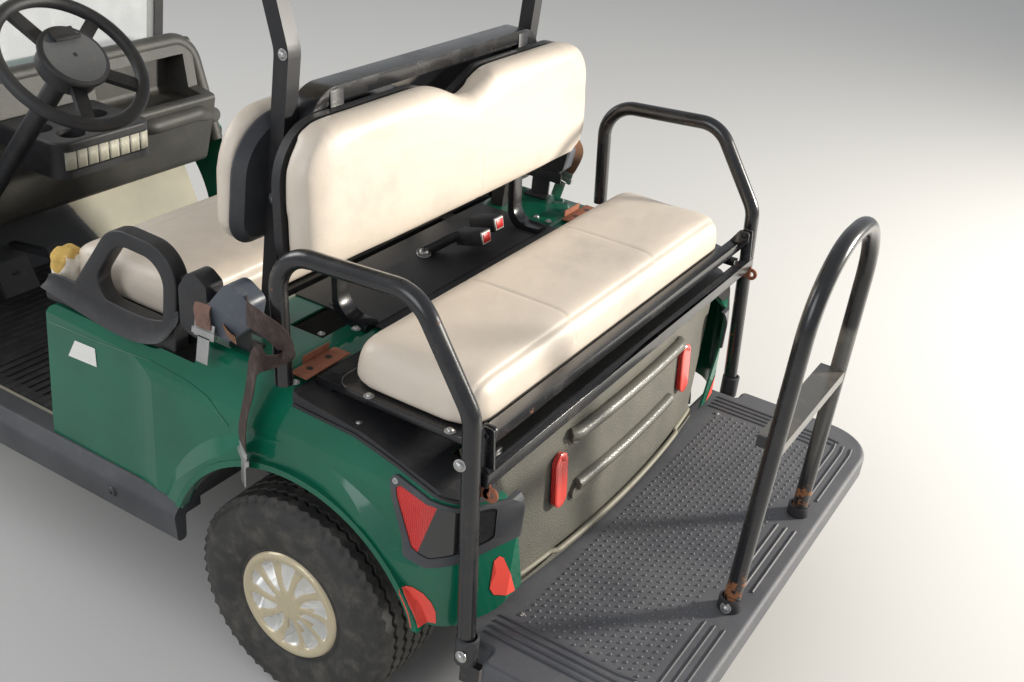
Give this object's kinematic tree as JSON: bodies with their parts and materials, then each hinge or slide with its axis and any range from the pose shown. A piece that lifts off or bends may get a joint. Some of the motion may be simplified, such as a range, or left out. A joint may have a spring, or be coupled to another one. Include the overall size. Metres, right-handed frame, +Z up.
{
  "type": "golf cart",
  "caption": "Electric golf cart with a canopy, a front bench, and a rear-facing seat that flips over into a load deck above a foot platform",
  "frame": {"origin": "on the ground below the middle of the cart's overall length and width", "axes": "+X forward, +Y to the driver's left, +Z up"},
  "size_m": [2.804, 1.208, 1.7899],
  "materials": {
    "frame_steel": "satin black paint on welded steel",
    "axle_steel": "dull oily iron with road dust",
    "body_green": "glossy metallic green, clear coated, lightly scratched",
    "dark_plastic": "dark grey moulded plastic, faded and dusty",
    "panel_plastic": "dark olive grey plastic with a fine leather grain",
    "black_plastic": "black moulded plastic, semi-matt",
    "cream_vinyl": "cream vinyl with fine grain, soiled",
    "tube_black": "gloss black paint on steel tube, chipped with rust",
    "tyre": "dusty black rubber",
    "wheel_gold": "champagne painted wheel and cover",
    "clear_screen": "clear acrylic, smudged",
    "lamp_red": "clear red lens",
    "lamp_clear": "clear lamp glass",
    "roof_plastic": "pale stone coloured moulding",
    "rubber_mat": "ribbed black rubber",
    "battery_case": "grey battery cases"
  },
  "bodies": {
    "root": {"chassis_frame": "frame_steel", "rear_axle": "axle_steel", "rear_springs": "axle_steel", "front_suspension": "axle_steel", "steering_column": "black_plastic", "battery_pack": "battery_case", "floor_pan": "black_plastic", "floor_mat": "rubber_mat", "pedals": "black_plastic", "running_boards": "dark_plastic", "front_cowl": "body_green", "front_bumper": "black_plastic", "headlamps": "lamp_clear", "dashboard": "black_plastic", "cup_console": "black_plastic", "windscreen": "clear_screen", "canopy_struts": "tube_black", "canopy_roof": "roof_plastic", "backrest_frame": "tube_black", "front_backrest_cushion": "cream_vinyl", "front_backrest_shell": "black_plastic", "rear_backrest_cushion": "cream_vinyl", "rear_backrest_board": "black_plastic", "hip_restraints": "black_plastic", "rear_body": "body_green", "wheel_housings": "black_plastic", "tail_lamps": "dark_plastic", "rear_lenses": "lamp_red", "rear_tray": "black_plastic", "rear_panel": "panel_plastic", "rear_seat_frame": "tube_black", "deck_cover": "black_plastic", "side_hoops": "tube_black", "foot_platform": "dark_plastic", "grab_bar": "tube_black", "belt_gear": "black_plastic"},
    "front_seat": {"front_seat_base": "black_plastic", "front_seat_cushion": "cream_vinyl"},
    "rear_seat": {"rear_seat_base": "black_plastic", "rear_seat_cushion": "cream_vinyl"},
    "steering_wheel": {"steering_wheel": "black_plastic"},
    "steering_rack": {"steering_rack": "axle_steel"},
    "left_knuckle": {"knuckle_left": "axle_steel"},
    "right_knuckle": {"knuckle_right": "axle_steel"},
    "front_left_wheel": {"tyre_front_left": "tyre", "wheel_front_left": "wheel_gold"},
    "front_right_wheel": {"tyre_front_right": "tyre", "wheel_front_right": "wheel_gold"},
    "rear_left_wheel": {"tyre_rear_left": "tyre", "wheel_rear_left": "wheel_gold"},
    "rear_right_wheel": {"tyre_rear_right": "tyre", "wheel_rear_right": "wheel_gold"}
  },
  "joints": [
    {"name": "front_left_spin", "type": "hinge", "parent": "left_knuckle", "child": "front_left_wheel", "pos_m": [1.031, 0.451, 0.2285], "axis": [0, 1, 0], "continuous": true},
    {"name": "front_right_spin", "type": "hinge", "parent": "right_knuckle", "child": "front_right_wheel", "pos_m": [1.031, -0.451, 0.2285], "axis": [0, 1, 0], "continuous": true},
    {"name": "rear_left_spin", "type": "hinge", "parent": "root", "child": "rear_left_wheel", "pos_m": [-0.638, 0.489, 0.2285], "axis": [0, 1, 0], "continuous": true},
    {"name": "rear_right_spin", "type": "hinge", "parent": "root", "child": "rear_right_wheel", "pos_m": [-0.638, -0.489, 0.2285], "axis": [0, 1, 0], "continuous": true},
    {"name": "left_steer", "type": "hinge", "parent": "root", "child": "left_knuckle", "pos_m": [1.031, 0.327, 0.2285], "axis": [0, 0, 1], "range_deg": [-28, 28]},
    {"name": "right_steer", "type": "hinge", "parent": "root", "child": "right_knuckle", "pos_m": [1.031, -0.327, 0.2285], "axis": [0, 0, 1], "range_deg": [-28, 28]},
    {"name": "rack_slide", "type": "slide", "parent": "root", "child": "steering_rack", "axis": [0, 1, 0], "range_m": [-0.05, 0.05]},
    {"name": "wheel_turn", "type": "hinge", "parent": "root", "child": "steering_wheel", "pos_m": [0.225, 0.28, 1.022], "axis": [-0.6428, 0, 0.766], "range_deg": [-340, 340]},
    {"name": "front_seat_lift", "type": "hinge", "parent": "root", "child": "front_seat", "pos_m": [-0.392, 0, 0.676], "axis": [0, -1, 0], "range_deg": [0, 48]},
    {"name": "rear_seat_flip", "type": "hinge", "parent": "root", "child": "rear_seat", "pos_m": [-1.01, 0, 0.752], "axis": [0, -1, 0], "range_deg": [0, 180]}
  ],
  "couplings": [
    {"joint": "right_steer", "follows": "left_steer", "ratio": 1},
    {"joint": "rack_slide", "follows": "left_steer", "m_per_rad": -0.1},
    {"joint": "wheel_turn", "follows": "left_steer", "ratio": 12}
  ]
}
